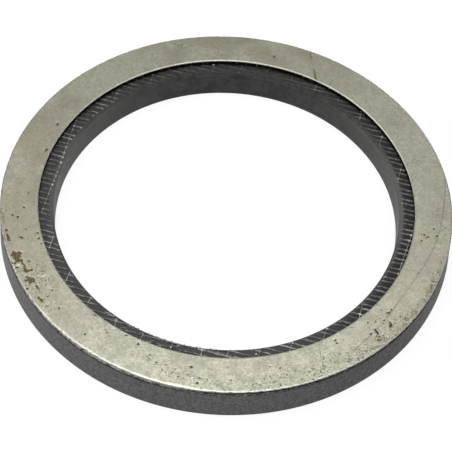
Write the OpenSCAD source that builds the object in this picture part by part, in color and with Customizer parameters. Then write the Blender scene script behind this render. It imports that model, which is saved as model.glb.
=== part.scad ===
// Flat ring gasket: a stamped steel face ring on a moulded ring. The moulded ring stands in
// past the steel as a ledge, where the cords of its fabric ply lie open to view.
// The ring's axis is Z, and its base lies on Z = 0.

/* [Ring section] */
// Bore through the moulded body
bore_d = 99; // [60:0.1:160]
// Radial width of the ledge between the bore and the steel ring
ledge_w = 4.2; // [2:0.1:8]
// Radial width of the steel face
face_w = 10.7; // [6:0.1:20]
// How far the foot of the outer wall stands out past the steel ring
wall_flare = 0.75; // [0.1:0.05:2]
// Height of the moulded body from its base to the seat of the steel ring
body_h = 8.95; // [6:0.05:16]
// Radius along the bottom edges of the body
base_round = 0.3; // [0.1:0.05:1]
// Radius of the bore's upper edge, where the ledge rolls over into the bore
brow_round = 0.6; // [0.1:0.05:1.5]
// Radius of the body's outer edge at the seam below the steel ring
seam_round = 0.5; // [0.1:0.05:0.8]

/* [Steel ring] */
// Thickness of the steel ring
steel_t = 1.4; // [1:0.1:3]
// Radius of the rolled outer edge of the steel face
rim_round = 0.4; // [0.1:0.05:0.9]
// Radius of the rolled inner edge of the steel face
lip_round = 0.3; // [0.1:0.05:0.9]
// How far the steel ring overhangs its seat at the inner edge
overhang = 0.5; // [0.2:0.1:2]

/* [Fabric ply] */
// Thickness of the rubbered fabric under its cords
ply_t = 0.6; // [0.3:0.1:1.5]
// How far the ply's inner edge stands back from the bore's rounded upper edge
ply_setback = 0.15; // [0.05:0.05:1]
// Clearance between the ply's outer edge and the seat
ply_gap = 0.1; // [0.05:0.05:0.4]
// Height of the cords above the ply
cord_h = 0.25; // [0.1:0.05:0.6]
// Air gap between the cords and the steel ring above them
cord_gap = 0.35; // [0.1:0.05:1]
// Width of one cord
cord_w = 0.75; // [0.2:0.05:0.9]
// Distance from one cord to the next
cord_pitch = 1.78; // [1.2:0.01:4]
// Width of one binder thread
binder_w = 0.3; // [0.2:0.05:0.9]
// Distance from one binder thread to the next
binder_pitch = 7.9; // [4:0.01:16]
// Direction of the cords, measured from the X axis
weave_angle = -12.5; // [-90:0.5:90]
// Distance of the middle cord from the ring's axis
cord_shift = 0.05; // [-1:0.05:1]
// Distance of the middle binder thread from the ring's axis
binder_shift = -2.7; // [-4:0.1:4]

/* [Hidden] */
$fn = 96;
arc_steps = 6;
bore_r = bore_d / 2;
lip_r = bore_r + ledge_w;
rim_r = lip_r + face_w;
foot_r = rim_r + wall_flare;
seat_r = lip_r + overhang;
ply_r = seat_r - ply_gap;
ply_bore_r = bore_r + brow_round + ply_setback;
ply_top = body_h - cord_gap - cord_h;
ledge_z = ply_top - ply_t;
cord_count = ceil(ply_r / cord_pitch);
binder_count = ceil(ply_r / binder_pitch);
wall_lean = atan(wall_flare / body_h);

// Points of a round corner about a centre, from one angle to the other
function arc(centre, radius, from, to) = [
    for (step = [0 : arc_steps])
        let (angle = from + (to - from) * step / arc_steps)
        centre + radius * [cos(angle), sin(angle)]
];

// Flat ring between two radii, standing on a height
module flat_ring(outer_r, inner_r, z, height) {
    rotate_extrude()
        translate([inner_r, z])
            square([outer_r - inner_r, height]);
}

// Stamped ring with rolled edges on its upper side
module steel_face_ring() {
    top = body_h + steel_t;
    color("#aeac98")
        rotate_extrude()
            polygon(concat(
                [[lip_r, body_h], [rim_r, body_h]],
                arc([rim_r - rim_round, top - rim_round], rim_round, 0, 90),
                arc([lip_r + lip_round, top - lip_round], lip_round, 90, 180)
            ));
}

// Moulded ring with a leaning outer wall, a seat for the steel and a ledge for the ply
module moulded_body() {
    foot_centre = [foot_r - base_round, base_round];
    seam_centre = [rim_r - seam_round, body_h - seam_round];
    color("#555452")
        rotate_extrude()
            polygon(concat(
                arc([bore_r + base_round, base_round], base_round, 180, 270),
                arc(foot_centre, base_round, 270, 360 + wall_lean),
                arc(seam_centre, seam_round, wall_lean, 90),
                [[seat_r, body_h], [seat_r, ledge_z]],
                arc([bore_r + brow_round, ledge_z - brow_round], brow_round, 90, 180)
            ));
}

// Parallel threads across the whole ring, lying along X
module threads(count, pitch, width, shift) {
    length = 2 * foot_r;
    for (step = [-count : count])
        translate([-foot_r, shift + step * pitch - width / 2, ledge_z])
            cube([length, width, ply_t + cord_h]);
}

// What lies within the ply and its cords
module on_ply() {
    intersection() {
        flat_ring(ply_r, ply_bore_r, ledge_z, ply_t + cord_h);
        children();
    }
}

// Rubbered fabric on the ledge, with its cords and binder threads as ridges
module fabric_ply() {
    color("#6f6e69") {
        flat_ring(ply_r, ply_bore_r, ledge_z, ply_t);
        on_ply()
            rotate(weave_angle)
                threads(cord_count, cord_pitch, cord_w, cord_shift);
        on_ply()
            rotate(weave_angle - 90)
                threads(binder_count, binder_pitch, binder_w, binder_shift);
    }
}

steel_face_ring();
moulded_body();
fabric_ply();
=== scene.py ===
"""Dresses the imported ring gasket: worn steel face, moulded body and corded fabric ledge."""
import math
import random
from collections import namedtuple

import bpy
import numpy as np
from mathutils import Matrix, Vector


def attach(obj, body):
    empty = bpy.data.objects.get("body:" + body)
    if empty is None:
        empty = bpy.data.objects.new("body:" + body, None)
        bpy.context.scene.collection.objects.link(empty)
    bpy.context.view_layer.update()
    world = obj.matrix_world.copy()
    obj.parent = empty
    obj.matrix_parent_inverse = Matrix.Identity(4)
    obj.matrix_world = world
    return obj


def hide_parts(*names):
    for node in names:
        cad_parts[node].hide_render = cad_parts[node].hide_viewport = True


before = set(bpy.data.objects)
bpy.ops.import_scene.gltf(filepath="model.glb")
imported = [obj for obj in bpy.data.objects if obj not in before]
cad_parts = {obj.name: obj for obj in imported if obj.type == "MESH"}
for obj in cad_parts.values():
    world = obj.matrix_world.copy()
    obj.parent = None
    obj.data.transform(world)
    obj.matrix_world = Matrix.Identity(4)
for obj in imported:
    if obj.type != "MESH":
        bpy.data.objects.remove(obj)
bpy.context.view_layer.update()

MM = 0.001
RNG = random.Random(7)

# Photograph and camera
PHOTO_PX = 452
FOCAL_PX = 1374.0
SENSOR_MM = 36.0
CAMERA_ELEVATION = math.radians(52.8)
CAMERA_ROLL = math.radians(3.759)
CAMERA_DISTANCE = 386.0 * MM
CAMERA_TARGET = Vector((0.15 * MM, -10.46 * MM, 10.35 * MM))

# Sizes that the nodes' own points do not give
RIM_ROUND = 0.4 * MM
LIP_ROUND = 0.3 * MM
BASE_ROUND = 0.3 * MM
SEAM_ROUND = 0.5 * MM
BROW_ROUND = 0.6 * MM
PLY_THICKNESS = 0.6 * MM
PLY_GAP = 0.1 * MM
PLY_SLOPE = 0.45 * MM
PLY_RUN_OUT = math.radians(45)
SKIN_REACH = 0.1 * MM

# Wear of the steel and where it lies round the ring, with 0 at the right and 90 at the far side
WORN_RIM_ROUND = 1.0 * MM
WORN_RIM_ANGLE = math.radians(248)
WORN_RIM_SPREAD = math.radians(36)
NICK_COUNT = 170
NICK_REACH = 0.7 * MM
NICK_DEPTH = 0.16 * MM
NICKS_FROM = 1.2 * MM
NICKS_FULL = 0.2 * MM
PIT_DEPTH = 0.05 * MM
RUST_DEPTH = 0.03 * MM
SCRATCH_DEPTH = 0.015 * MM
SINKS_ABOVE = 0.1 * MM
POLISH_FROM = 0.01 * MM
POLISH_FULL = 0.06 * MM
BARE_ANGLE = math.radians(236)
BARE_SPREAD = math.radians(24)
CHIPPED_ANGLE = math.radians(203)
CHIPPED_SPREAD = math.radians(10)
PALE_ANGLE = math.radians(38)
PALE_LEFT_ANGLE = math.radians(126)
PALE_SPREAD = math.radians(19)
DULL_ANGLE = math.radians(180)
DULL_SPREAD = math.radians(30)
FLECK_ANGLE = math.radians(272)
FLECK_SPREAD = math.radians(20)
# SEAM_DARKEST is where the painted seam shade on the body is darkest and the rubber skin on the steel
# starts lowest
SEAM_DARKEST = math.radians(340)

# Where grime with painted shade, and rubber skin, begin on the steel's sides, in millimetres below its
# face
GRIME_SHADE_EDGE_LIP = 0.28
GRIME_SHADE_EDGE_RIM = 0.22
GRIME_SHADE_RISE = 0.17
SKIN_EDGE = 0.55
SKIN_EDGE_SWING = 0.3
SKIN_EDGE_BARE = 0.6
SKIN_EDGE_NONE = 5.0

# Weave on the ledge: dimmest is the least tone of a whole thread, breaks that of its worn places
WEAVE_ANGLE = math.radians(-12.5)
CORD_PITCH = 1.78 * MM
CORD_SHIFT = 0.05 * MM
CORD_WIDTH = 0.7 * MM
CORD_HEIGHT = 0.22 * MM
CORD_STEP = 0.5 * MM
CORD_DIMMEST = 0.5
CORD_BREAKS = 0.4
CORD_LAG_RIGHT = (-0.05 * MM, -0.33 * MM)
CORD_LAG_LEFT = (-0.48 * MM, -0.28 * MM)
BINDER_ANGLE = WEAVE_ANGLE - math.pi / 2
BINDER_PITCH = 7.9 * MM
BINDER_SHIFT = -2.7 * MM
BINDER_WIDTH = 0.3 * MM
BINDER_HEIGHT = 0.14 * MM
BINDER_STEP = 0.2 * MM
BINDER_DIMMEST = 0.7
BINDER_BREAKS = 0.8
BINDER_TILT = math.radians(5)
BEAD_SIZE = 0.33 * MM

# Threads end this far from the bore, and further at the left and right
THREAD_END = 0.6 * MM
SETBACK_LEFT = 0.5 * MM
SETBACK_RIGHT = 0.22 * MM

# How far the binders lie off their even places: degrees round the ring and millimetres
BINDER_DRIFT = [
    (0, 0.6), (20, 0.95), (75, 1.1), (98, 0.6), (112, -0.3), (131, -0.8), (150, -0.3), (175, 0.0),
    (201, -0.6), (226, -0.2), (237, 1.1), (247, 1.15), (256, 1.7), (265, 2.0), (273, 0.5), (282, 0.85),
    (292, 0.45), (302, 0.3), (330, 0.0), (360, 0.6),
]

# Frayed, bright and loose stretches of the ply, and lint by pixel and size in millimetres
FRAY_ANGLE = math.radians(255)
FRAY_SPREAD = math.radians(13)
FIBRE_COUNT = 100
BRIGHT_END_ANGLE = math.radians(150)
BRIGHT_END_SPREAD = math.radians(20)
LOOSE_ANGLE = math.radians(246)
LOOSE_SPREAD = math.radians(8)
LOOSE_COUNT = 24
LINT = [((256.1, 354.1), 0.3), ((252.2, 356.6), 0.2), ((213.4, 64.8), 0.3)]
LINT_TONE = 1.6

# Mesh density
STEEL_TURNS = 1500
BODY_TURNS = 720
PLY_TURNS = 960
FACE_STEPS = 44
SIDE_STEPS = 4
WALL_STEPS = 16
BORE_STEPS = 14
SHEET_STEPS = 8
ROLL_STEPS = 16
ARC_STEPS = 6
CURVE_STEPS = 12
SHARP_ANGLE = math.radians(40)


def node_reach(node):
    """Least and greatest radius and height of a CAD node's own points."""
    mesh = bpy.data.objects[node].data
    points = np.empty(len(mesh.vertices) * 3)
    mesh.vertices.foreach_get("co", points)
    points = points.reshape(-1, 3)
    radius = np.hypot(points[:, 0], points[:, 1])
    return radius.min(), radius.max(), points[:, 2].min(), points[:, 2].max()


# Radii and heights that follow from the CAD nodes
LIP_R, RIM_R, SEAT_Z, TOP_Z = node_reach("steel_face_ring")
BORE_R, FOOT_R, BASE_Z, _ = node_reach("moulded_body")
PLY_BORE_R, PLY_R, LEDGE_Z, _ = node_reach("fabric_ply")
PLY_Z = LEDGE_Z + PLY_THICKNESS
ROLL_R = PLY_BORE_R + PLY_SLOPE * (1 - math.sin(PLY_RUN_OUT))
ROLL_Z = LEDGE_Z + PLY_THICKNESS * math.cos(PLY_RUN_OUT)
SKIN_R = BORE_R + SKIN_REACH
SKIN_Z = LEDGE_Z - BROW_ROUND + math.sqrt(BROW_ROUND ** 2 - (BROW_ROUND - SKIN_REACH) ** 2)
THREAD_BORE_R = BORE_R + THREAD_END


# Camera
def camera_axes():
    """Right, up and forward directions of the photograph's camera."""
    forward = Vector((0, math.cos(CAMERA_ELEVATION), -math.sin(CAMERA_ELEVATION)))
    level_right = Vector((1, 0, 0))
    level_up = level_right.cross(forward)
    right = math.cos(CAMERA_ROLL) * level_right + math.sin(CAMERA_ROLL) * level_up
    return right, right.cross(forward), forward


def add_camera():
    right, up, forward = camera_axes()
    data = bpy.data.cameras.new("photo_camera")
    data.sensor_width = SENSOR_MM
    data.lens = SENSOR_MM * FOCAL_PX / PHOTO_PX
    data.clip_start = 0.01
    camera = bpy.data.objects.new("photo_camera", data)
    turn = Matrix((right, up, -forward)).transposed().to_4x4()
    camera.matrix_world = Matrix.Translation(CAMERA_TARGET - CAMERA_DISTANCE * forward) @ turn
    bpy.context.scene.collection.objects.link(camera)
    bpy.context.scene.camera = camera


def on_level(pixel, height):
    """Point at a height that a pixel of the photograph shows."""
    right, up, forward = camera_axes()
    eye = CAMERA_TARGET - CAMERA_DISTANCE * forward
    across = (pixel[0] - PHOTO_PX / 2) / FOCAL_PX
    down = (pixel[1] - PHOTO_PX / 2) / FOCAL_PX
    ray = forward + across * right - down * up
    return eye + ray * ((height - eye.z) / ray.z)


# Mesh helpers
def arc(radius_at, z_at, size, start, end):
    """Profile points of a round corner, angles in degrees."""
    angles = np.radians(np.linspace(start, end, ARC_STEPS + 1))
    return [(radius_at + size * math.cos(a), z_at + size * math.sin(a)) for a in angles]


def line(first, last, steps):
    """Points from one profile point to the other, without the two ends."""
    first, last = np.array(first), np.array(last)
    return [tuple(first + (last - first) * i / steps) for i in range(1, steps)]


def link(name, mesh, slot, *nodes):
    """Put a finished mesh in the scene, riding on the object in place of its CAD nodes."""
    piece = bpy.data.objects.new(name, mesh)
    bpy.context.scene.collection.objects.link(piece)
    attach(piece, "root")
    if nodes:
        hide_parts(*nodes)
    return piece


def ring_mesh(name, points):
    """Closed quad mesh from points[row, column], both rows and columns running round."""
    rows, columns, _ = points.shape
    index = np.arange(rows * columns).reshape(rows, columns)
    below = np.roll(index, -1, axis=0)
    beside = np.roll(index, -1, axis=1)
    quads = np.stack([index, beside, np.roll(below, -1, axis=1), below], -1).reshape(-1, 4)
    mesh = bpy.data.meshes.new(name)
    mesh.from_pydata(points.reshape(-1, 3), [], quads.tolist())
    mesh.polygons.foreach_set("use_smooth", np.ones(len(mesh.polygons), dtype=bool))
    mesh.set_sharp_from_angle(angle=SHARP_ANGLE)
    return mesh


def turned(profile, turns):
    """Radius, angle and height arrays of a profile turned round the axis."""
    profile = np.array(profile)
    angle = np.arange(turns) * 2 * math.pi / turns
    radius = np.repeat(profile[:, :1], turns, axis=1)
    height = np.repeat(profile[:, 1:], turns, axis=1)
    return radius, np.repeat(angle[None, :], len(profile), axis=0), height


def from_polar(radius, angle, height):
    """Points at these radii, angles and heights."""
    return np.stack([radius * np.cos(angle), radius * np.sin(angle), height], -1)


def paint(mesh, name, values):
    """Store one number per point, for the materials to read."""
    layer = mesh.attributes.new(name, "FLOAT", "POINT")
    layer.data.foreach_set("value", np.ascontiguousarray(values.reshape(-1), dtype=np.float32))


def smooth_step(low, high, value):
    """Smooth rise from nothing at the first value to one at the second."""
    t = np.clip((value - low) / (high - low), 0, 1)
    return t * t * (3 - 2 * t)


def near_angle(angle, middle, spread):
    """One at an angle round the ring, falling smoothly to nothing on both sides of it."""
    away = (angle - middle + math.pi) % (2 * math.pi) - math.pi
    return np.exp(-(away / spread) ** 2)


def dust_and_light_left(angle):
    """How pale the outer wall is with dust and painted light from the left, from nothing at the right
    to its most over the left half.
    """
    return smooth_step(1.0, 0.0, np.cos(angle))


def dust_and_sheen_sides(angle):
    """How pale the bore is with dust and painted sheen, most of all at the left and right."""
    return np.cos(angle) ** 2 * (0.9 - 0.1 * np.cos(angle))


def rolled_side(angle):
    """How far the ply's rolled edge shows as plain rubber, which it does at the left and right."""
    return smooth_step(0.5, 0.9, np.abs(np.cos(angle))) * smooth_step(-0.35, -0.05, np.sin(angle))


# Steel face: each mark has the photograph's pixel, and a length and a width in millimetres
RUST_SPOTS = [
    ((16.3, 256), 1.6, 1.15), ((13.6, 254), 0.9, 0.7), ((19.8, 253), 0.7, 0.6),
    ((18.3, 260), 0.9, 0.75), ((22, 260.5), 0.8, 0.35), ((23.3, 264), 0.9, 0.33),
    ((24.5, 268), 0.9, 0.33), ((26, 270.6), 0.7, 0.5), ((29, 270.5), 0.35, 0.8),
    ((31.6, 269.8), 0.35, 0.5), ((31, 280.3), 1.15, 0.95), ((26.8, 276.7), 0.4, 0.6),
    ((25.4, 280.8), 0.4, 0.4), ((28.2, 279.6), 0.4, 0.5), ((36.7, 285.8), 0.4, 0.5),
    ((38, 287.8), 0.5, 0.4), ((40.3, 299.3), 0.7, 0.5), ((38.5, 297.4), 0.4, 0.35),
    ((42.3, 301), 0.4, 0.35), ((27.1, 288.7), 0.4, 0.45), ((28.8, 261.2), 0.45, 0.4),
    ((6.5, 230.3), 0.65, 0.45), ((8.2, 237.8), 1.4, 0.5), ((20.6, 237), 0.4, 0.45),
    ((22.4, 237.8), 0.35, 0.4), ((37.5, 232.8), 0.3, 0.45), ((38.8, 238.3), 0.35, 0.45),
    ((41.3, 243.3), 0.4, 0.35), ((424.7, 235.2), 0.35, 0.4), ((428.4, 236.8), 0.4, 0.35),
    ((274.2, 56.4), 0.6, 0.55), ((17.5, 192.5), 0.3, 0.25), ((28.5, 192.5), 0.3, 0.25),
    ((20.5, 182), 0.3, 0.22), ((34, 201.7), 0.3, 0.2), ((26, 229), 0.28, 0.22),
    ((422.0, 240.6), 0.35, 0.3), ((421.2, 234.2), 0.28, 0.24), ((426.2, 237.8), 0.32, 0.3),
]
DARK_PITS = [
    ((60.5, 331), 0.5, 0.4), ((57.6, 124), 0.55, 0.45), ((46, 150), 0.8, 0.4),
    ((24, 207), 0.5, 0.35), ((18, 217), 0.45, 0.35), ((12.8, 214.8), 0.5, 0.35),
    ((375.4, 329.6), 0.35, 0.3), ((376.6, 331.4), 0.4, 0.35), ((378, 333.2), 0.4, 0.35),
    ((376.4, 336), 0.35, 0.25), ((378.2, 339.4), 0.45, 0.3), ((380.6, 340), 0.4, 0.22),
    ((390.3, 322.4), 0.35, 0.28), ((391.2, 325), 0.5, 0.45), ((389.9, 326.8), 0.4, 0.3),
    ((391.5, 309.5), 0.35, 0.28), ((389.3, 312.4), 0.45, 0.25), ((387.4, 312.6), 0.3, 0.22),
    ((400.4, 316.4), 0.4, 0.26), ((395.5, 319.5), 0.28, 0.24), ((384, 320), 0.28, 0.24),
    ((375.4, 321.5), 0.28, 0.24), ((368, 322.4), 0.26, 0.22), ((371, 333.5), 0.4, 0.26),
    ((422, 241), 0.3, 0.25), ((434, 229), 0.35, 0.35), ((437, 236), 0.35, 0.35),
    ((424, 234), 0.28, 0.22), ((59, 308), 0.35, 0.3), ((52, 290), 0.3, 0.25), ((85, 334), 0.4, 0.3),
    ((335, 340), 0.5, 0.3), ((337, 343), 0.45, 0.25), ((138, 344), 0.45, 0.35),
    ((191, 367), 0.5, 0.4), ((197, 383), 0.45, 0.35), ((200, 378), 0.4, 0.3),
    ((150, 355), 0.35, 0.2), ((231, 380), 0.35, 0.25), ((280, 368), 0.35, 0.25),
    ((270, 366), 0.3, 0.2), ((126, 335), 0.5, 0.25), ((95, 315), 0.35, 0.2),
    ((16.7, 267.4), 0.35, 0.8), ((14.6, 262.8), 0.45, 0.45), ((13.2, 270), 0.4, 0.3),
    ((11.8, 262.5), 0.6, 0.25), ((15.8, 273.5), 0.5, 0.25), ((18.6, 279.5), 0.5, 0.3),
    ((22.5, 286), 0.7, 0.2), ((27, 293), 1.0, 0.2), ((33, 301), 0.9, 0.2),
]
SCUFFS = [
    ((17.9, 264.8), 0.3, 0.6), ((13.4, 267.3), 0.35, 0.4), ((12.6, 272), 0.5, 0.3),
    ((15, 279), 0.4, 0.25), ((38.3, 275.4), 0.35, 0.4), ((43.6, 276), 0.3, 0.75),
    ((3, 211), 0.5, 0.3), ((178, 385), 3.2, 0.3), ((191, 378), 1.2, 0.2),
    ((10.4, 265.4), 0.4, 0.22), ((20, 288), 0.5, 0.22), ((312.4, 55), 0.3, 0.3),
    ((12.6, 266.8), 0.4, 0.25), ((14.6, 270.6), 0.4, 0.3), ((17, 277), 0.3, 0.25),
    ((25, 289.5), 0.5, 0.2),
]
RIM_STAINS = [
    ((439, 272), 2.4, 0.7), ((434, 282), 2.4, 0.8), ((430, 290), 2.8, 0.9), ((424, 301), 3.0, 1.0),
    ((415, 312), 2.6, 0.9), ((406, 321), 2.8, 0.9), ((400, 328), 2.2, 0.7), ((441, 262), 1.8, 0.5),
    ((388, 338), 2.4, 0.6), ((370, 350), 2.4, 0.5), ((9, 262), 2.6, 0.5), ((15, 281), 2.8, 0.5),
    ((4, 240), 2.4, 0.4), ((2.5, 215), 2.6, 0.35), ((180, 46), 0.9, 0.7), ((97, 316.5), 0.7, 0.4),
]
PEPPERED = [
    ((200, 382), 9.0, 2.4), ((270, 383), 10.0, 2.6), ((310, 375), 9.0, 3.0), ((345, 358), 8.0, 3.0),
    ((385, 333), 8.0, 3.5), ((165, 368), 8.0, 1.6), ((40, 285), 8.0, 3.5),
]
# Each scratch has the pixels it runs through, a width in millimetres and a strength
SCRATCHES = [
    ([(310, 52), (311, 56), (312, 60)], 0.45, 0.8),
    ([(312, 60), (313, 66), (314, 70)], 0.2, 0.3),
    ([(314, 70), (315, 75), (316, 80)], 0.5, 0.9),
    ([(319, 341), (320, 350), (322, 360), (325, 371)], 0.2, 0.6),
    ([(446, 165), (444, 205), (437, 240), (421, 270), (400, 300), (379, 327), (353, 351)], 0.28, 0.55),
    ([(60, 300), (69, 316), (75, 327), (78, 335)], 0.18, 0.35),
    ([(150, 60), (180, 49), (215, 43), (250, 43)], 0.2, 0.25),
]


def spot_field(x, y, spots, edge=0.6):
    """How much of each point lies in a list of ragged spots that run round the ring."""
    field = np.zeros_like(x)
    for pixel, length, width in spots:
        centre = on_level(pixel, TOP_Z)
        heading = math.atan2(centre.y, centre.x) + math.pi / 2 + RNG.uniform(-0.4, 0.4)
        along = (x - centre.x) * math.cos(heading) + (y - centre.y) * math.sin(heading)
        across = (y - centre.y) * math.cos(heading) - (x - centre.x) * math.sin(heading)
        bearing = np.arctan2(across / width, along / length)
        ragged = 1 + 0.14 * np.sin(3 * bearing + RNG.uniform(0, 6))
        ragged += 0.1 * np.sin(5 * bearing + RNG.uniform(0, 6))
        reach = np.hypot(along / (length * MM), across / (width * MM)) / ragged
        field = np.maximum(field, smooth_step(1 + edge, 1 - edge, reach))
    return field


def smooth_curve(stops):
    """Points of a smooth curve through a few stops."""
    stops = [np.array(stop) for stop in stops]
    ends = [2 * stops[0] - stops[1]] + stops + [2 * stops[-1] - stops[-2]]
    curve = []
    for a, b, c, d in zip(ends, ends[1:], ends[2:], ends[3:]):
        for t in np.arange(CURVE_STEPS) / CURVE_STEPS:
            curve.append(0.5 * (2 * b + (c - a) * t + (2 * a - 5 * b + 4 * c - d) * t ** 2
                                + (3 * b - a - 3 * c + d) * t ** 3))
    return curve + [stops[-1]]


def scratch_field(x, y):
    """How strongly each point is scratched."""
    field = np.zeros_like(x)
    for pixels, width, strength in SCRATCHES:
        stops = [np.array(on_level(pixel, TOP_Z)[:2]) for pixel in pixels]
        curve = smooth_curve(stops)
        gap = np.full_like(x, 1.0)
        for start, end in zip(curve, curve[1:]):
            run = end - start
            share = np.clip(((x - start[0]) * run[0] + (y - start[1]) * run[1]) / run.dot(run), 0, 1)
            off_x = x - start[0] - share * run[0]
            off_y = y - start[1] - share * run[1]
            gap = np.minimum(gap, np.hypot(off_x, off_y))
        field = np.maximum(field, strength * smooth_step(width * MM, 0.2 * width * MM, gap))
    return field


def nicks(angle):
    """Small dents along the steel's rim, as a depth for each angle round the ring."""
    dent = np.zeros_like(angle)
    for _ in range(NICK_COUNT):
        place = RNG.uniform(0, 2 * math.pi)
        half = RNG.uniform(0.3, 1.0) * NICK_REACH
        away = np.abs((angle - place + math.pi) % (2 * math.pi) - math.pi) * RIM_R
        deepest = RNG.uniform(0.3, 1.0) * NICK_DEPTH
        dent = np.maximum(dent, deepest * smooth_step(half, 0, away))
    return dent


def rim_round(angle):
    """Radius of the steel's outer edge, which is worn wider on the near left."""
    worn = near_angle(angle, WORN_RIM_ANGLE, WORN_RIM_SPREAD)
    return RIM_ROUND + (WORN_RIM_ROUND - RIM_ROUND) * worn


def bare_side(angle):
    """How bare the steel's outer side is, which is clean metal only on the left and near left."""
    chipped = 0.7 * near_angle(angle, CHIPPED_ANGLE, CHIPPED_SPREAD)
    return np.clip(1.8 * near_angle(angle, BARE_ANGLE, BARE_SPREAD), chipped, 1)


def steel_section(turn):
    """Rows of radius and height round the steel's section, for each angle round the ring."""
    edge = rim_round(turn)
    same = np.ones_like(turn)
    side = TOP_Z - edge - SEAT_Z
    rows = [(RIM_R * same, SEAT_Z + side * i / SIDE_STEPS) for i in range(SIDE_STEPS)]
    for a in np.radians(np.linspace(0, 90, ARC_STEPS + 1)):
        rows.append((RIM_R + edge * (math.cos(a) - 1), TOP_Z + edge * (math.sin(a) - 1)))
    outer_r, inner_r = RIM_R - edge, LIP_R + LIP_ROUND
    for i in range(1, FACE_STEPS):
        rows.append((outer_r + (inner_r - outer_r) * i / FACE_STEPS, TOP_Z * same))
    lip = arc(LIP_R + LIP_ROUND, TOP_Z - LIP_ROUND, LIP_ROUND, 90, 180)
    lip += line(lip[-1], (LIP_R, SEAT_Z), SIDE_STEPS) + [(LIP_R, SEAT_Z)]
    rows += [(r * same, z * same) for r, z in lip]
    return np.array([r for r, _ in rows]), np.array([z for _, z in rows])


def steel_layers(x, y, radius, angle, low):
    """How much of each kind of wear, painted light and painted shade every point of the steel has."""
    lip = radius < 0.5 * (LIP_R + RIM_R)
    bare = bare_side(angle)
    # Grime with painted shade on the steel's sides begins nearest the face at the far side and the
    # left
    far = smooth_step(-0.6, 0.1, np.sin(angle))
    left = smooth_step(-0.6, -0.85, np.cos(angle))
    grime_edge = GRIME_SHADE_EDGE_RIM - GRIME_SHADE_RISE * np.maximum(far, 0.9 * left)
    skin_edge = SKIN_EDGE + SKIN_EDGE_SWING * np.cos(angle - SEAM_DARKEST) + SKIN_EDGE_BARE * bare
    pale = near_angle(angle, PALE_ANGLE, PALE_SPREAD)
    pale = np.maximum(pale, 0.6 * near_angle(angle, PALE_LEFT_ANGLE, PALE_SPREAD))
    return {
        "rust": spot_field(x, y, RUST_SPOTS),
        "pits": spot_field(x, y, DARK_PITS),
        "stain": spot_field(x, y, RIM_STAINS),
        "scuff": spot_field(x, y, SCUFFS),
        "pepper": spot_field(x, y, PEPPERED, 0.8),
        "scratch": scratch_field(x, y),
        "grime_edge": np.where(lip, GRIME_SHADE_EDGE_LIP, grime_edge),
        "bare": bare * ~lip,
        "flecked": near_angle(angle, FLECK_ANGLE, FLECK_SPREAD),
        "skin_edge": np.where(lip, SKIN_EDGE_NONE, skin_edge),
        "edge": smooth_step(POLISH_FROM, POLISH_FULL, low),
        "dusty": dust_and_light_left(angle),
        "tarnish": smooth_step(0.7, 1.0, np.sin(angle)),
        # Painted reflection: the steel's near side is paler; the patches at the upper right and left
        # are paler steel
        "rubbed": np.maximum(smooth_step(-0.5, -0.95, np.sin(angle)), pale),
        "dulled": near_angle(angle, DULL_ANGLE, DULL_SPREAD),
        "smudged": smooth_step(-0.4, 0.2, np.sin(angle)),
    }


def steel_ring():
    turn = np.arange(STEEL_TURNS) * 2 * math.pi / STEEL_TURNS
    radius, height = steel_section(turn)
    angle = np.repeat(turn[None, :], len(radius), axis=0)
    near_rim = smooth_step(RIM_R - NICKS_FROM, RIM_R - NICKS_FULL, radius)
    points = from_polar(radius - nicks(angle) * near_rim, angle, height)
    low = np.maximum(TOP_Z - points[..., 2], 0)
    layers = steel_layers(points[..., 0], points[..., 1], radius, angle, low)
    sunk = PIT_DEPTH * layers["pits"] + RUST_DEPTH * layers["rust"]
    sunk += SCRATCH_DEPTH * layers["scratch"]
    points[..., 2] -= sunk * (low < SINKS_ABOVE)
    mesh = ring_mesh("steel_face", points)
    for name, values in layers.items():
        paint(mesh, name, values)
    return link("steel_face", mesh, "face_steel", "steel_face_ring")


# Moulded body
def body_ring():
    lean = math.degrees(math.atan((FOOT_R - RIM_R) / (SEAT_Z - BASE_Z)))
    foot = arc(FOOT_R - BASE_ROUND, BASE_Z + BASE_ROUND, BASE_ROUND, -90, lean)
    seam = arc(RIM_R - SEAM_ROUND, SEAT_Z - SEAM_ROUND, SEAM_ROUND, lean, 90)
    seat_r = PLY_R + PLY_GAP
    bore = arc(BORE_R + BASE_ROUND, BASE_Z + BASE_ROUND, BASE_ROUND, 180, 270)
    profile = foot + line(foot[-1], seam[0], WALL_STEPS) + seam
    profile += [(seat_r, SEAT_Z), (seat_r, LEDGE_Z)]
    brow = arc(BORE_R + BROW_ROUND, LEDGE_Z - BROW_ROUND, BROW_ROUND, 90, 180)
    profile += brow + line(brow[-1], bore[0], BORE_STEPS) + bore
    radius, angle, height = turned(profile, BODY_TURNS)
    mesh = ring_mesh("moulded_ring", from_polar(radius, angle, height))
    outside = smooth_step(PLY_R, RIM_R - SEAM_ROUND, radius)
    paint(mesh, "outside", outside)
    # Dust and painted sheen on the bore, palest at the left and right
    paint(mesh, "dust", dust_and_sheen_sides(angle))
    # Dust and painted light from the left on the outer wall
    paint(mesh, "dusty", dust_and_light_left(angle))
    # Painted shade: a dark band on the body just under the steel, where the two parts meet
    under_seat = smooth_step(SEAT_Z - 0.25 * MM, SEAT_Z - 0.08 * MM, height)
    paint(mesh, "seam", outside * under_seat * (0.4 + 0.3 * np.cos(angle - SEAM_DARKEST)))
    on_brow = smooth_step(LEDGE_Z - 0.75 * MM, LEDGE_Z - 0.4 * MM, height) * (radius < PLY_BORE_R)
    paint(mesh, "brow", on_brow * rolled_side(angle))
    return link("moulded_ring", mesh, "moulded_rubber", "moulded_body")


# Fabric ply
Weave = namedtuple(
    "Weave", "name pitch shift heading width height step lift drift tilt dimmest tone")


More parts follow.
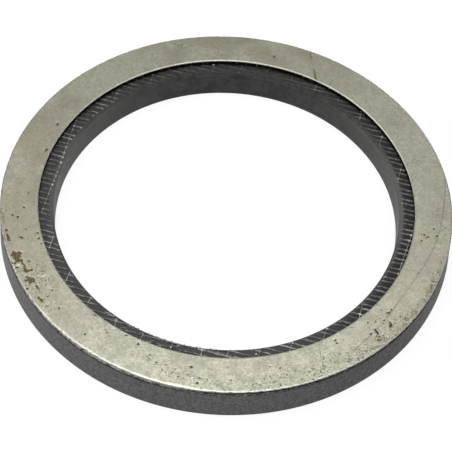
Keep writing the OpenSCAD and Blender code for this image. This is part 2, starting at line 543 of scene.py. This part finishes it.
def ragged_edge(angle):
    """Uneven cut of the ply's inner edge, as a distance for each angle round the ring."""
    cut = np.zeros_like(angle)
    for count in (23, 41, 67, 97, 149, 211, 283):
        cut += RNG.uniform(0.02, 0.06) * MM * np.sin(count * angle + RNG.uniform(0, 6))
    return cut


def sheet_top(radius):
    """Height of the ply's upper side, which rolls over and runs out on the bore's brow."""
    inward = np.clip((PLY_BORE_R + PLY_SLOPE - radius) / PLY_SLOPE, 0, 1)
    rolled = LEDGE_Z + PLY_THICKNESS * np.sqrt(1 - inward ** 2)
    straight = SKIN_Z + (ROLL_Z - SKIN_Z) * (radius - SKIN_R) / (ROLL_R - SKIN_R)
    return np.where(radius < ROLL_R, straight, rolled)


def ply_sheet():
    slope_r = PLY_BORE_R + PLY_SLOPE
    profile = [(SKIN_R, SKIN_Z), (BORE_R + BROW_ROUND, LEDGE_Z), (PLY_R, LEDGE_Z), (PLY_R, PLY_Z)]
    profile += line((PLY_R, PLY_Z), (slope_r, PLY_Z), SHEET_STEPS)
    rolled_over = np.linspace(slope_r, SKIN_R + 0.04 * MM, ROLL_STEPS)
    profile += [(r, float(sheet_top(r))) for r in rolled_over]
    radius, angle, height = turned(profile, PLY_TURNS)
    inside = smooth_step(slope_r + 0.3 * MM, PLY_BORE_R, radius)
    uneven = ragged_edge(angle)
    crest = smooth_step(0, 0.5, inside) * smooth_step(SKIN_R, ROLL_R, radius)
    lumps = uneven * crest * (0.5 + 3 * near_angle(angle, FRAY_ANGLE, FRAY_SPREAD))
    skin = from_polar(radius + 0.4 * np.abs(uneven) * crest, angle, height + lumps)
    mesh = ring_mesh("ply_sheet", skin)
    rolled = rolled_side(angle)
    brow = smooth_step(slope_r + 0.1 * MM, PLY_BORE_R + 0.2 * MM * rolled, radius)
    paint(mesh, "brow", brow)
    paint(mesh, "rolled", brow * rolled * smooth_step(0.85, 0.98, np.abs(np.cos(angle))))
    # Painted shade: darker, warmer ply towards the lip on the right
    grimy = smooth_step(0.3, 1.0, np.cos(angle))
    paint(mesh, "grimy", grimy * smooth_step(BORE_R + 1.0 * MM, BORE_R + 2.4 * MM, radius))
    # Painted sheen: paler ply over the near side
    paint(mesh, "faded", smooth_step(0.8, -0.5, np.sin(angle)) * (1 - grimy))
    # Dust and painted sheen on the brow, palest at the left and right
    paint(mesh, "dust", dust_and_sheen_sides(angle))
    return link("ply_sheet", mesh, "corded_fabric", "fabric_ply")


def bright_ends(x, y):
    """How far a point lies in the stretch at the upper left where the threads' ends are bright."""
    return near_angle(math.atan2(y, x), BRIGHT_END_ANGLE, BRIGHT_END_SPREAD)


def ledge_tone(x, y):
    """Painted light on the threads: lit pale on the near side and shaded dark on the far side, darkest
    towards the bore there, with bright ends at the upper left.
    """
    reach = math.hypot(x, y)
    ends = bright_ends(x, y)
    far = smooth_step(0.3, 0.85, y / reach) * (1 - ends)
    inward = 1 - smooth_step(BORE_R + 0.8 * MM, BORE_R + 3.0 * MM, reach)
    tip = 1 - smooth_step(BORE_R + 0.9 * MM, BORE_R + 1.9 * MM, reach)
    base_tone = 0.56 - 0.4 * y / PLY_R - 0.03 * x / PLY_R
    return base_tone * (1 - 0.85 * far * inward) + 0.45 * ends * tip


def cord_tone(x, y):
    """Painted light and shade on the cords, as on the binders, with the cords worn away where loose
    threads lie.
    """
    worn = 0.35 * near_angle(math.atan2(y, x), LOOSE_ANGLE, 1.3 * LOOSE_SPREAD)
    return ledge_tone(x, y) * (1 - worn) * (1 + 0.4 * bright_ends(x, y))


def thread_offsets(pitch, shift, width):
    """Number and distance from the axis of every thread that crosses the ledge."""
    count = int(PLY_R / pitch) + 1
    offsets = [(number, shift + number * pitch) for number in range(-count, count + 1)]
    return [(number, offset) for number, offset in offsets if abs(offset) < PLY_R - width]


def cord_drift(number, x, y):
    """How far a cord lies off its even place: the cords run in pairs."""
    lag = CORD_LAG_RIGHT if x > 0 else CORD_LAG_LEFT
    return lag[number % 2]


def binder_drift(number, x, y):
    """How far a binder lies off its even place at a point of the ledge."""
    bearing = math.degrees(math.atan2(y, x)) % 360
    stops, drifts = zip(*BINDER_DRIFT)
    return MM * np.interp(bearing, stops, drifts)


def thread_bore(angle):
    """Radius at which the threads begin round the ring."""
    setback = SETBACK_RIGHT if math.cos(angle) > 0 else SETBACK_LEFT
    return THREAD_BORE_R + setback * rolled_side(angle)


def runs_on_ledge(offset, heading):
    """Stretches of a straight line, at a distance from the axis, that lie on the ledge."""
    outer = math.sqrt(max(PLY_R ** 2 - offset ** 2, 0))
    if abs(offset) >= THREAD_BORE_R:
        return [(-outer, outer)]
    inner = math.sqrt(THREAD_BORE_R ** 2 - offset ** 2)
    first = math.sqrt(thread_bore(heading + math.atan2(offset, -inner)) ** 2 - offset ** 2)
    last = math.sqrt(thread_bore(heading + math.atan2(offset, inner)) ** 2 - offset ** 2)
    return [(-outer, -first), (last, outer)]


def on_weave(along, across, heading):
    """Place on the ledge of a point along and across a thread, kept within the ply's edges."""
    x = along * math.cos(heading) - across * math.sin(heading)
    y = along * math.sin(heading) + across * math.cos(heading)
    reach = math.hypot(x, y)
    kept = min(max(reach, THREAD_BORE_R), PLY_R)
    return x * kept / reach, y * kept / reach, float(sheet_top(kept))


def toned_piece(name, points, faces, tone, smooth=True):
    """One mesh of threads, with a tone stored for each point."""
    mesh = bpy.data.meshes.new(name)
    mesh.from_pydata(points, [], faces)
    if smooth:
        mesh.polygons.foreach_set("use_smooth", np.ones(len(faces), dtype=bool))
    paint(mesh, "tone", np.array(tone))
    return link(name, mesh, "corded_fabric")


def add_thread(points, faces, tone, kind, shade, heading, offset, run):
    """Append one half-round thread to a mesh's lists."""
    sides = 8
    start, end = run
    steps = max(3, int((end - start) / kind.step))
    first = len(points)
    for i in range(steps + 1):
        along = start + (end - start) * i / steps
        middle = offset + RNG.uniform(-0.12, 0.12) * kind.width
        for side in range(sides + 1):
            turn = math.pi * side / sides
            x, y, z = on_weave(along, middle + 0.5 * kind.width * math.cos(turn), heading)
            points.append((x, y, z + kind.lift(along) + kind.height * math.sin(turn)))
            # Painted highlight along each thread's crest and painted shade on its flanks, sharper at
            # the near side and the left
            crest = math.sin(turn) ** max(1.5, 3.5 - 3.5 * y / PLY_R - 1.5 * x / PLY_R)
            tone.append(shade * kind.tone(x, y) * (0.15 + 0.85 * crest))
    for i in range(steps):
        for side in range(sides):
            a = first + i * (sides + 1) + side
            faces.append((a, a + 1, a + sides + 2, a + sides + 1))


def threads(kind):
    """Threads side by side over the whole ledge, as one piece, and the lines they follow."""
    points, faces, tone, lines = [], [], [], []
    for number, offset in thread_offsets(kind.pitch, kind.shift, kind.width):
        for start, end in runs_on_ledge(offset, kind.heading):
            middle = 0.5 * (start + end)
            x, y, _ = on_weave(middle, offset, kind.heading)
            moved = offset + kind.drift(number, x, y)
            turn = RNG.uniform(-kind.tilt, kind.tilt) if end - start < PLY_R else 0.0
            runs = runs_on_ledge(moved, kind.heading)
            for run in runs:
                if len(runs) == 2 and run[0] * middle < 0:
                    continue
                shade = RNG.uniform(kind.dimmest, 1.0)
                centre = 0.5 * (run[0] + run[1])
                across = moved * math.cos(turn) - centre * math.sin(turn)
                along = centre * math.cos(turn) + moved * math.sin(turn)
                reach = 0.5 * (run[1] - run[0])
                part = (along - reach, along + reach)
                add_thread(points, faces, tone, kind, shade, kind.heading + turn, across, part)
                lines.append((kind.heading + turn, across, part))
    return toned_piece(kind.name, points, faces, tone), lines


def over_cords(along):
    """Height of a binder thread, which rises over each cord that it crosses."""
    return 0.35 * CORD_HEIGHT * (1 + math.cos(2 * math.pi * (along + CORD_SHIFT) / CORD_PITCH))


def flat(along):
    """Height of a cord, which lies straight on the sheet."""
    return 0.0


def add_bead(points, faces, tone, place, size, shade):
    """Append one small dome to a mesh's lists."""
    rings, sides = 3, 8
    x, y, z = place
    first = len(points)
    for ring in range(rings):
        rise = 0.5 * math.pi * ring / rings
        spread, top = size * math.cos(rise), z + size * math.sin(rise)
        for side in range(sides):
            turn = 2 * math.pi * side / sides
            points.append((x + spread * math.cos(turn), y + spread * math.sin(turn), top))
    points.append((x, y, z + size))
    tone += [shade] * (len(points) - first)
    for ring in range(rings - 1):
        for side in range(sides):
            a = first + ring * sides + side
            b = first + ring * sides + (side + 1) % sides
            faces.append((a, b, b + sides, a + sides))
    last = first + (rings - 1) * sides
    faces += [(last + side, last + (side + 1) % sides, len(points) - 1) for side in range(sides)]


def crossing_beads(binder_lines):
    """Bright beads of thread where a binder crosses a cord, and a few flecks of lint."""
    points, faces, tone = [], [], []
    for heading, across, (start, end) in binder_lines:
        lean = heading - WEAVE_ANGLE
        for number, offset in thread_offsets(CORD_PITCH, CORD_SHIFT, CORD_WIDTH):
            along = (offset - across * math.cos(lean)) / math.sin(lean)
            x, y, _ = on_weave(along, across, heading)
            along += cord_drift(number, x, y) / math.sin(lean)
            if not start + BEAD_SIZE < along < end - BEAD_SIZE:
                continue
            x, y, z = on_weave(along, across, heading)
            size = BEAD_SIZE * RNG.uniform(0.5, 1.1)
            # The beads take the threads' painted light and shade
            base_tone = float(ledge_tone(x, y) * (1 + 0.6 * bright_ends(x, y)))
            shade = RNG.uniform(0.7, 1.8) * base_tone
            add_bead(points, faces, tone, (x, y, z + 0.3 * CORD_HEIGHT), size, shade)
    for pixel, size in LINT:
        seen = on_level(pixel, PLY_Z + CORD_HEIGHT)
        place = (seen.x, seen.y, PLY_Z + 0.5 * CORD_HEIGHT)
        add_bead(points, faces, tone, place, size * MM, LINT_TONE)
    return toned_piece("ply_beads", points, faces, tone)


def frayed_fibres():
    """Short loose fibres along the frayed stretch of the ply's inner edge."""
    points, faces, tone = [], [], []
    for _ in range(FIBRE_COUNT):
        angle = RNG.gauss(FRAY_ANGLE, FRAY_SPREAD)
        reach = SKIN_R + RNG.uniform(0.05, 0.7) * MM
        root = Vector((reach * math.cos(angle), reach * math.sin(angle), float(sheet_top(reach))))
        heading = angle + math.pi + RNG.uniform(-1.4, 1.4)
        length = RNG.uniform(0.3, 0.8) * MM
        rise = RNG.uniform(0.1, 0.6)
        tip = root + length * Vector((math.cos(heading), math.sin(heading), rise))
        half = RNG.uniform(0.05, 0.09) * MM
        side = half * Vector((-math.sin(heading), math.cos(heading), 0))
        first = len(points)
        crown = root + Vector((0, 0, 2 * half))
        points += [tuple(point) for point in (root + side, root - side, crown, tip)]
        faces += [(first + a, first + b, first + 3) for a, b in ((0, 1), (1, 2), (2, 0))]
        tone += [RNG.uniform(0.2, 0.8)] * 4
    return toned_piece("ply_fibres", points, faces, tone, smooth=False)


def loose_threads():
    """Short curled threads that have worked loose on the near left of the ledge."""
    points, faces, tone = [], [], []
    steps = 8
    for _ in range(LOOSE_COUNT):
        angle = RNG.gauss(LOOSE_ANGLE, LOOSE_SPREAD)
        reach = RNG.uniform(THREAD_BORE_R + 0.3 * MM, LIP_R)
        x, y = reach * math.cos(angle), reach * math.sin(angle)
        heading = WEAVE_ANGLE + RNG.gauss(0, 0.22)
        bend = RNG.uniform(-0.9, 0.9) / steps
        stride = RNG.uniform(0.6, 2.6) * MM / steps
        half = RNG.uniform(0.06, 0.09) * MM
        shade = RNG.uniform(0.6, 1.4)
        first = len(points)
        for _ in range(steps + 1):
            side_x, side_y = -half * math.sin(heading), half * math.cos(heading)
            base = on_weave(x, y, 0.0)[2] + 0.5 * CORD_HEIGHT
            points.append((x + side_x, y + side_y, base))
            points.append((x - side_x, y - side_y, base))
            points.append((x, y, base + 2 * half))
            heading += bend
            x += stride * math.cos(heading)
            y += stride * math.sin(heading)
        tone += [shade] * (len(points) - first)
        for row in range(first, len(points) - 3, 3):
            for side in range(3):
                other = (side + 1) % 3
                faces.append((row + side, row + other, row + 3 + other, row + 3 + side))
    return toned_piece("ply_loose_threads", points, faces, tone, smooth=False)


# Materials
class Shading:
    """A material's node tree, with short calls for its nodes. A noise of 1000 has 1 mm marks."""

    def __init__(self, name):
        self.material = bpy.data.materials.new(name)
        self.material.use_nodes = True
        self.nodes = self.material.node_tree.nodes
        self.links = self.material.node_tree.links
        self.shader = self.nodes["Principled BSDF"]
        self.place = self.nodes.new("ShaderNodeTexCoord").outputs["Object"]

    def join(self, source, target):
        self.links.new(source, target)

    def feed(self, socket, value):
        """Set a socket to a number or a colour, or join it to another node."""
        if isinstance(value, tuple):
            socket.default_value = (*value, 1)
        elif isinstance(value, (int, float)):
            socket.default_value = value
        else:
            self.join(value, socket)

    def noise(self, scale, detail, roughness):
        node = self.nodes.new("ShaderNodeTexNoise")
        node.inputs["Scale"].default_value = scale
        node.inputs["Detail"].default_value = detail
        node.inputs["Roughness"].default_value = roughness
        self.join(self.place, node.inputs["Vector"])
        return node.outputs["Fac"]

    def ramp(self, value, low, high, first=0.0, last=1.0):
        node = self.nodes.new("ShaderNodeMapRange")
        node.inputs["From Min"].default_value = low
        node.inputs["From Max"].default_value = high
        node.inputs["To Min"].default_value = first
        node.inputs["To Max"].default_value = last
        self.join(value, node.inputs["Value"])
        return node.outputs["Result"]

    def math(self, operation, first, second):
        node = self.nodes.new("ShaderNodeMath")
        node.operation = operation
        self.feed(node.inputs[0], first)
        self.feed(node.inputs[1], second)
        return node.outputs["Value"]

    def times(self, first, second):
        return self.math("MULTIPLY", first, second)

    def mix(self, share, first, second):
        """The first colour, with a share of the second in its place."""
        node = self.nodes.new("ShaderNodeMix")
        node.data_type = "RGBA"
        self.feed(node.inputs[0], share)
        self.feed(node.inputs[6], first)
        self.feed(node.inputs[7], second)
        return node.outputs[2]

    def stored(self, name):
        """A number that paint() stored on the mesh."""
        node = self.nodes.new("ShaderNodeAttribute")
        node.attribute_name = name
        return node.outputs["Fac"]

    def ragged(self, field, scale, depth):
        """A stored field with its edge broken up by fine noise."""
        uneven = self.ramp(self.noise(scale, 4, 0.7), 0.33, 0.67, -depth, depth)
        return self.ramp(self.math("ADD", field, uneven), 0.5, 0.62)

    def depth(self, top, bottom):
        """Millimetres below a height, down to a lower one."""
        split = self.nodes.new("ShaderNodeSeparateXYZ")
        self.join(self.place, split.inputs["Vector"])
        return self.ramp(split.outputs["Z"], bottom, top, (top - bottom) / MM, 0.0)

    def specks(self, scale, low, high):
        """Small uneven specks, where fine noise peaks."""
        return self.ramp(self.noise(scale, 2, 0.5), low, high)

    def bump(self, height, strength, distance):
        node = self.nodes.new("ShaderNodeBump")
        node.inputs["Strength"].default_value = strength
        node.inputs["Distance"].default_value = distance
        self.join(height, node.inputs["Height"])
        self.join(node.outputs["Normal"], self.shader.inputs["Normal"])


# Colours
STEEL = (0.695, 0.685, 0.545)
STEEL_DULL = (0.35, 0.34, 0.265)
STEEL_WARM = (0.51, 0.465, 0.295)
STEEL_PINK = (0.59, 0.543, 0.476)
STEEL_OLIVE = (0.57, 0.58, 0.38)
STEEL_BRIGHT = (0.93, 0.92, 0.84)
RUST = (0.13, 0.088, 0.038)
PIT = (0.05, 0.046, 0.032)
STAIN = (0.15, 0.145, 0.06)
# Near-black for grime, and for painted shade in gaps and seams
GRIME_AND_SHADE = (0.009, 0.0085, 0.007)
STEEL_SIDE = (0.42, 0.42, 0.4)
STEEL_TARNISHED = (0.55, 0.525, 0.37)
# Paler steel, also used for the painted reflection on the near side
STEEL_PALER = (0.8, 0.795, 0.657)
RUBBER = (0.004, 0.0039, 0.0038)
RUBBER_PALE = (0.19, 0.1865, 0.184)
BORE_DARK = (0.01, 0.0096, 0.0094)
BORE_PALE = (0.068, 0.066, 0.0645)
PLY = (0.025, 0.0245, 0.0225)
PLY_PALE = (0.06, 0.059, 0.055)
# Painted sheen for the ply's near side
PLY_SHEEN = (0.09, 0.089, 0.086)
# Painted shade for the ply near the lip
PLY_LIP_SHADE = (0.014, 0.013, 0.0095)
# Paler rubber for dust and painted sheen
DUST_AND_SHEEN = (0.112, 0.11, 0.105)
BROW_PALE = (0.165, 0.162, 0.154)
CORD_DARK = (0.03, 0.029, 0.027)
CORD_PALE = (0.72, 0.71, 0.665)
BINDER = (0.9, 0.89, 0.85)


def wall_colour(s, uneven):
    """Outer wall's colour, which is paler at the left than at the right, with dust and painted light.
    """
    grainy = s.ramp(uneven, 0.22, 0.78)
    pale = s.math("ADD", s.times(grainy, 0.6), s.times(s.stored("dusty"), 0.4))
    return s.mix(pale, RUBBER, RUBBER_PALE)


def steel_tone(s, patches, grain):
    """Colour of the steel's face, from its broad clouds down to its grain."""
    broad = s.ramp(s.noise(70, 4, 0.6), 0.4, 0.6)
    colour = s.mix(s.times(broad, 0.6), STEEL, STEEL_PINK)
    # Painted reflection over the near side, and paler patches
    colour = s.mix(s.times(s.stored("rubbed"), 0.7), colour, STEEL_PALER)
    colour = s.mix(s.times(s.stored("dulled"), 0.36), colour, STEEL_WARM)
    smudges = s.noise(105, 4, 0.6)
    darker = s.ramp(smudges, 0.52, 0.66, 0.0, 0.4)
    colour = s.mix(s.times(darker, s.stored("smudged")), colour, STEEL_DULL)
    lighter = s.ramp(smudges, 0.36, 0.48, 0.7, 0.0)
    colour = s.mix(s.times(lighter, s.stored("smudged")), colour, STEEL_PALER)
    smeared = s.ramp(s.noise(150, 5, 0.6), 0.42, 0.58, 0.0, 0.65)
    colour = s.mix(s.times(s.stored("tarnish"), smeared), colour, STEEL_TARNISHED)
    wiped = s.ramp(s.noise(115, 4, 0.55), 0.5, 0.62, 0.0, 0.6)
    colour = s.mix(s.times(s.stored("tarnish"), wiped), colour, STEEL_PALER)
    olive = s.ramp(s.noise(480, 4, 0.65), 0.48, 0.64)
    for field, clear, peppered, tint in (
            (olive, 0.3, 0.7, STEEL_OLIVE),
            (patches, 0.3, 0.2, STEEL_DULL),
            (grain, 0.55, 0.7, STEEL_DULL)):
        share = s.ramp(s.stored("pepper"), 0.0, 1.0, clear, peppered)
        colour = s.mix(s.times(field, share), colour, tint)
    return colour


def steel_marks(s, colour, fine, pepper, rust, pits):
    """That colour with specks, scratches, stains, rust, pits and bright scuffs."""
    colour = s.mix(s.times(fine, 0.65), colour, PIT)
    colour = s.mix(s.times(pepper, 0.85), colour, PIT)
    broken = s.ramp(s.noise(500, 3, 0.6), 0.3, 0.55, 0.3, 1.0)
    scratch = s.times(s.stored("scratch"), broken)
    colour = s.mix(s.times(scratch, 0.75), colour, PIT)
    flaky = s.ramp(s.noise(1500, 4, 0.7), 0.42, 0.58)
    stain = s.times(s.ramp(s.stored("stain"), 0.1, 0.9), flaky)
    colour = s.mix(s.times(stain, 0.7), colour, STAIN)
    colour = s.mix(s.times(rust, s.ramp(flaky, 0.0, 1.0, 0.8, 1.0)), colour, RUST)
    colour = s.mix(s.times(pits, 0.9), colour, PIT)
    scuffs = s.times(s.ragged(s.stored("scuff"), 1300, 0.45), 0.75)
    bright = s.math("MAXIMUM", s.times(s.stored("edge"), 0.8), scuffs)
    return s.mix(bright, colour, STEEL_BRIGHT)


def steel_sides(s, colour, low, grime_and_shade):
    """That colour with grime and painted shade, bare metal and rubber skin on the steel's sides."""
    streaks = s.ramp(s.noise(700, 4, 0.7), 0.4, 0.52, 0.25, 1.0)
    side = s.mix(s.times(s.stored("bare"), streaks), GRIME_AND_SHADE, STEEL_SIDE)
    colour = s.mix(grime_and_shade, colour, side)
    uneven = s.ramp(s.noise(900, 4, 0.65), 0.35, 0.65)
    torn = s.math("ADD", low, s.ramp(uneven, 0.0, 1.0, -0.12, 0.12))
    past = s.math("SUBTRACT", torn, s.stored("skin_edge"))
    flecks = s.times(s.specks(1100, 0.55, 0.64), s.stored("flecked"))
    skin = s.mix(s.times(flecks, 0.8), wall_colour(s, uneven), STEEL_SIDE)
    colour = s.mix(s.ramp(past, -0.04, 0.04), colour, skin)
    # Painted shade: a broken dark line on the bare side where the steel meets its rubber skin
    seam_shade_line = s.times(s.ramp(past, -0.28, -0.18), s.ramp(past, 0.1, 0.18, 1.0, 0.0))
    seam_shade_line = s.times(seam_shade_line, s.ramp(s.noise(600, 3, 0.6), 0.36, 0.46, 0.2, 1.0))
    return s.mix(s.times(seam_shade_line, s.stored("bare")), colour, GRIME_AND_SHADE)


def steel_material():
    s = Shading("worn_steel")
    patches = s.ramp(s.noise(260, 6, 0.75), 0.4, 0.6)
    grain = s.ramp(s.noise(1500, 4, 0.75), 0.38, 0.62)
    clusters = s.ramp(s.noise(160, 3, 0.6), 0.45, 0.62)
    fine = s.times(s.specks(1400, 0.64, 0.72), clusters)
    pepper = s.times(s.specks(1800, 0.59, 0.655), s.stored("pepper"))
    rust = s.ragged(s.stored("rust"), 1100, 0.3)
    pits = s.ragged(s.stored("pits"), 1500, 0.35)
    low = s.depth(TOP_Z, SEAT_Z)
    # Grime and painted shade darken the sides below their edges, which are not metallic there
    below = s.math("SUBTRACT", low, s.stored("grime_edge"))
    patchy = s.ramp(s.noise(1300, 3, 0.6), 0.28, 0.38, 0.25, 1.0)
    grime_and_shade = s.times(s.ramp(below, 0.0, 0.08), patchy)
    colour = steel_tone(s, patches, grain)
    colour = steel_marks(s, colour, fine, pepper, rust, pits)
    colour = steel_sides(s, colour, low, grime_and_shade)
    s.join(colour, s.shader.inputs["Base Color"])
    wear = s.math("MAXIMUM", s.math("MAXIMUM", rust, pits), grime_and_shade)
    s.join(s.ramp(wear, 0.1, 0.9, 1.0, 0.0), s.shader.inputs["Metallic"])
    s.shader.inputs["Specular IOR Level"].default_value = 0.0
    dull = s.ramp(patches, 0.0, 1.0, 0.4, 0.54)
    polished = s.times(s.stored("edge"), 0.18)
    s.join(s.math("SUBTRACT", dull, polished), s.shader.inputs["Roughness"])
    hollows = s.times(s.math("ADD", fine, pepper), -2.0)
    s.bump(s.math("ADD", grain, hollows), 0.35, 0.03 * MM)
    return s.material


def rubber_colour(s, uneven):
    """Bore wall's colour: dark at the far and near sides, paler at the left and right with dust and
    painted sheen.
    """
    smudged = s.ramp(s.noise(220, 4, 0.7), 0.4, 0.6)
    pale = s.math("ADD", s.times(smudged, 0.55), s.times(uneven, 0.45))
    base_tone = s.mix(pale, BORE_DARK, BORE_PALE)
    return s.mix(s.times(s.stored("dust"), 0.85), base_tone, DUST_AND_SHEEN)


def rubber_material():
    s = Shading("moulded_rubber")
    patches = s.ramp(s.noise(300, 5, 0.7), 0.35, 0.65)
    grain = s.noise(1700, 4, 0.65)
    mottle = s.ramp(s.noise(1250, 4, 0.7), 0.38, 0.62)
    uneven = s.math("ADD", s.times(patches, 0.2), s.times(s.ramp(grain, 0.35, 0.65), 0.35))
    uneven = s.math("ADD", uneven, s.times(mottle, 0.45))
    colour = s.mix(s.stored("outside"), rubber_colour(s, uneven), wall_colour(s, uneven))
    # Painted shade in the seam under the steel
    colour = s.mix(s.stored("seam"), colour, GRIME_AND_SHADE)
    colour = s.mix(s.times(s.stored("brow"), 0.5), colour, BROW_PALE)
    s.join(colour, s.shader.inputs["Base Color"])
    s.shader.inputs["Specular IOR Level"].default_value = 0.25
    s.join(s.ramp(patches, 0.0, 1.0, 0.48, 0.6), s.shader.inputs["Roughness"])
    s.bump(grain, 0.5, 0.06 * MM)
    return s.material


def ply_material():
    s = Shading("rubbered_ply")
    patches = s.ramp(s.noise(700, 4, 0.6), 0.35, 0.65)
    colour = s.mix(patches, PLY, PLY_PALE)
    # Painted sheen over the near side
    colour = s.mix(s.times(s.stored("faded"), 0.6), colour, PLY_SHEEN)
    # Painted shade near the lip on the right
    colour = s.mix(s.times(s.stored("grimy"), 0.75), colour, PLY_LIP_SHADE)
    colour = s.mix(s.stored("brow"), colour, rubber_colour(s, patches))
    colour = s.mix(s.times(s.stored("rolled"), 0.6), colour, BROW_PALE)
    s.join(colour, s.shader.inputs["Base Color"])
    s.shader.inputs["Specular IOR Level"].default_value = 0.3
    s.join(s.ramp(patches, 0.0, 1.0, 0.55, 0.7), s.shader.inputs["Roughness"])
    s.bump(s.noise(2500, 3, 0.6), 0.5, 0.06 * MM)
    return s.material


def thread_material(name, pale, breaks):
    s = Shading(name)
    broken = s.ramp(s.noise(260, 3, 0.6), 0.4, 0.56, breaks, 1.0)
    fine = s.ramp(s.noise(800, 4, 0.65), 0.32, 0.6)
    # The stored tone holds painted light and painted crest highlights, so this pale share is part
    # wear, part painted light
    worn = s.times(s.times(s.stored("tone"), broken), fine)
    s.join(s.mix(worn, CORD_DARK, pale), s.shader.inputs["Base Color"])
    s.join(s.ramp(worn, 0.0, 1.0, 0.6, 0.45), s.shader.inputs["Roughness"])
    s.bump(s.noise(3000, 2, 0.5), 0.4, 0.04 * MM)
    return s.material


# Studio: each lamp has a name, a place and a width in metres, and a power in watts
FLOOR_SIZE = 8.0
FLOOR_PALE = (0.8, 0.8, 0.8)
FLOOR_SHADED = (0.2, 0.2, 0.2)
FLOOR_GLOW = 0.87
SKY_LOW = 0.18
SKY_HIGH = 0.325
SKY_RISES_FROM = 0.3
SKY_RISES_TO = 0.95
SOFTBOXES = [
    ("overhead", (0.0, -0.05, 0.9), 1.2, 5.7),
    ("side", (-0.8, 0.0, 0.46), 0.8, 1.5),
]


def add_floor():
    """White floor: paper for the light it throws back, and a glow where it is seen."""
    half = FLOOR_SIZE / 2
    mesh = bpy.data.meshes.new("studio_floor")
    corners = [(x * half, y * half, BASE_Z) for x, y in ((-1, -1), (1, -1), (1, 1), (-1, 1))]
    mesh.from_pydata(corners, [], [(0, 1, 2, 3)])
    floor = bpy.data.objects.new("studio_floor", mesh)
    bpy.context.scene.collection.objects.link(floor)
    s = Shading("studio_white")
    paper = s.nodes.new("ShaderNodeBsdfDiffuse")
    paper.inputs["Color"].default_value = (*FLOOR_PALE, 1)
    shaded = s.nodes.new("ShaderNodeBsdfDiffuse")
    shaded.inputs["Color"].default_value = (*FLOOR_SHADED, 1)
    glow = s.nodes.new("ShaderNodeEmission")
    glow.inputs["Strength"].default_value = FLOOR_GLOW
    seen = s.nodes.new("ShaderNodeAddShader")
    s.join(shaded.outputs[0], seen.inputs[0])
    s.join(glow.outputs[0], seen.inputs[1])
    path = s.nodes.new("ShaderNodeLightPath")
    direct = s.math("MAXIMUM", path.outputs["Is Camera Ray"], path.outputs["Is Glossy Ray"])
    direct = s.math("MAXIMUM", direct, path.outputs["Is Transmission Ray"])
    choice = s.nodes.new("ShaderNodeMixShader")
    s.join(direct, choice.inputs[0])
    s.join(paper.outputs[0], choice.inputs[1])
    s.join(seen.outputs[0], choice.inputs[2])
    s.join(choice.outputs[0], s.nodes["Material Output"].inputs["Surface"])
    mesh.materials.append(s.material)


def add_softbox(name, place, size, power):
    """Round lamp that faces the object."""
    data = bpy.data.lights.new(name, "AREA")
    data.shape = "DISK"
    data.size = size
    data.energy = power
    lamp = bpy.data.objects.new(name, data)
    lamp.location = place
    lamp.rotation_euler = Vector(place).to_track_quat("Z", "Y").to_euler()
    bpy.context.scene.collection.objects.link(lamp)


def add_world():
    """Soft surround that grows brighter from the horizon to overhead."""
    world = bpy.data.worlds.new("studio_surround")
    bpy.context.scene.world = world
    world.use_nodes = True
    nodes, links = world.node_tree.nodes, world.node_tree.links
    place = nodes.new("ShaderNodeTexCoord")
    split = nodes.new("ShaderNodeSeparateXYZ")
    links.new(place.outputs["Generated"], split.inputs["Vector"])
    level = nodes.new("ShaderNodeMapRange")
    level.inputs["From Min"].default_value = SKY_RISES_FROM
    level.inputs["From Max"].default_value = SKY_RISES_TO
    level.inputs["To Min"].default_value = SKY_LOW
    level.inputs["To Max"].default_value = SKY_HIGH
    links.new(split.outputs["Z"], level.inputs["Value"])
    back = nodes["Background"]
    back.inputs["Color"].default_value = (1, 1, 1, 1)
    links.new(level.outputs["Result"], back.inputs["Strength"])


# Build
CORD_WEAVE = Weave(
    name="ply_cords", pitch=CORD_PITCH, shift=CORD_SHIFT, heading=WEAVE_ANGLE,
    width=CORD_WIDTH, height=CORD_HEIGHT, step=CORD_STEP, lift=flat, drift=cord_drift,
    tilt=0.0, dimmest=CORD_DIMMEST, tone=cord_tone)
BINDER_WEAVE = Weave(
    name="ply_binders", pitch=BINDER_PITCH, shift=BINDER_SHIFT, heading=BINDER_ANGLE,
    width=BINDER_WIDTH, height=BINDER_HEIGHT, step=BINDER_STEP, lift=over_cords,
    drift=binder_drift, tilt=BINDER_TILT, dimmest=BINDER_DIMMEST, tone=ledge_tone)

add_camera()
steel = steel_ring()
body = body_ring()
sheet = ply_sheet()
cords, _ = threads(CORD_WEAVE)
binders, binder_lines = threads(BINDER_WEAVE)
beads = crossing_beads(binder_lines)
fibres = frayed_fibres()
loose = loose_threads()
cord_finish = thread_material("pale_cord", CORD_PALE, CORD_BREAKS)
binder_finish = thread_material("binder_thread", BINDER, BINDER_BREAKS)
steel.data.materials.append(steel_material())
body.data.materials.append(rubber_material())
sheet.data.materials.append(ply_material())
for piece in (cords, fibres):
    piece.data.materials.append(cord_finish)
for piece in (binders, beads, loose):
    piece.data.materials.append(binder_finish)

add_floor()
add_world()
for softbox in SOFTBOXES:
    add_softbox(*softbox)

bpy.context.scene.view_settings.view_transform = "Standard"
